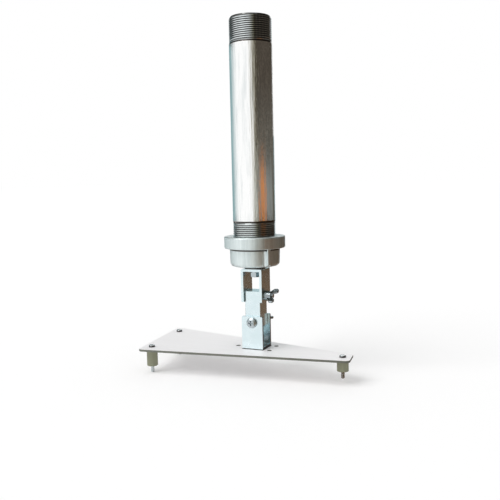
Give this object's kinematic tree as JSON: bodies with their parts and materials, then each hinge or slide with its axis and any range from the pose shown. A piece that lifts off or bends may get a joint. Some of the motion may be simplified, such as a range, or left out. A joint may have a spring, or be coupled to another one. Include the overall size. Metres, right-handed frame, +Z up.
{
  "type": "projector ceiling mount",
  "caption": "Ceiling mount for a projector: a threaded pipe and cap carry crossed yokes on a square link, which swivel and tilt a tapered plate with spacers and screws.",
  "frame": {"origin": "centre of the pipe's upper end", "axes": "+Z up along the pipe, +X along the pitch axis towards its wing nut, +Y along the roll axis towards its wing nut"},
  "size_m": [0.2574, 0.1174, 0.4013],
  "materials": {
    "galvanised_pipe": "bright galvanised coat with fine drawing streaks, bare threads darker",
    "galvanised_casting": "galvanised over a slightly lumpy casting",
    "zinc_plate": "bright zinc plate",
    "satin_plate": "satin sheet with dark cut edges",
    "spacer_nylon": "dull khaki plastic"
  },
  "bodies": {
    "post": {"pipe": "galvanised_pipe", "pipe_cap": "galvanised_casting", "swivel_bolt": "zinc_plate", "swivel_head_washer": "zinc_plate", "swivel_washer": "zinc_plate", "swivel_lock_washer": "zinc_plate", "swivel_nut": "zinc_plate"},
    "swivel": {"upper_yoke": "zinc_plate", "pitch_bolt": "zinc_plate"},
    "pitch_nut": {"pitch_wing_nut": "zinc_plate"},
    "tilt": {"link": "zinc_plate"},
    "carrier": {"lower_yoke": "zinc_plate", "roll_bolt": "zinc_plate", "plate_bolt": "zinc_plate", "plate_lock_washer": "zinc_plate", "plate_nut": "zinc_plate", "adapter_plate": "satin_plate", "spacer_front_left": "spacer_nylon", "spacer_rear_left": "spacer_nylon", "spacer_right": "spacer_nylon", "screw_front_left": "zinc_plate", "screw_rear_left": "zinc_plate", "screw_right": "zinc_plate"},
    "roll_nut": {"roll_wing_nut": "zinc_plate"}
  },
  "joints": [
    {"name": "yaw", "type": "hinge", "parent": "post", "child": "swivel", "pos_m": [0, 0, -0.2791], "axis": [0, 0, 1], "continuous": true},
    {"name": "pitch", "type": "hinge", "parent": "swivel", "child": "tilt", "pos_m": [0, 0, -0.3102], "axis": [1, 0, 0], "range_deg": [-90, 90]},
    {"name": "roll", "type": "hinge", "parent": "tilt", "child": "carrier", "pos_m": [0, 0, -0.3402], "axis": [0, 1, 0], "range_deg": [-80, 80]},
    {"name": "pitch_nut_turn", "type": "hinge", "parent": "swivel", "child": "pitch_nut", "pos_m": [0.0127, 0, -0.3102], "axis": [1, 0, 0], "range_deg": [0, 360]},
    {"name": "roll_nut_turn", "type": "hinge", "parent": "carrier", "child": "roll_nut", "pos_m": [0, 0.0127, -0.3402], "axis": [0, 1, 0], "range_deg": [0, 360]}
  ]
}
